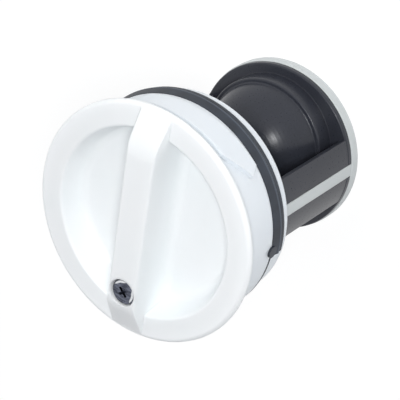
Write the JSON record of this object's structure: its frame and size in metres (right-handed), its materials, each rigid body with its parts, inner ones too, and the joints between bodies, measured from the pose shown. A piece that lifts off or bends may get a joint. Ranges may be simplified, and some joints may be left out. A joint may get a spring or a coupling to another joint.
{
  "type": "washing machine pump filter",
  "caption": "Drain pump filter with a round grip knob, bayonet plug body, rubber seal ring and a windowed basket with an inner dome, standing on its rear hoop.",
  "frame": {"origin": "on the filter's axis in the rear face of its hoop, which is the plane it stands on", "axes": "+Z along the axis towards the knob, +Y along the grip bar and, within 9 degrees, towards the middle of the basket's window"},
  "size_m": [0.07, 0.07, 0.0756],
  "materials": {
    "white_knob": "moulded, soft gloss",
    "white_body": "moulded, soft gloss",
    "seal_rubber": "satin",
    "black_plastic": "moulded, soft gloss",
    "white_cage": "moulded, satin",
    "dark_steel": "dark and shiny"
  },
  "bodies": {
    "root": {"knob": "white_knob", "plug_body": "white_body", "seal_ring": "seal_rubber", "basket": "black_plastic", "cage": "white_cage", "knob_screw": "dark_steel"}
  },
  "joints": []
}
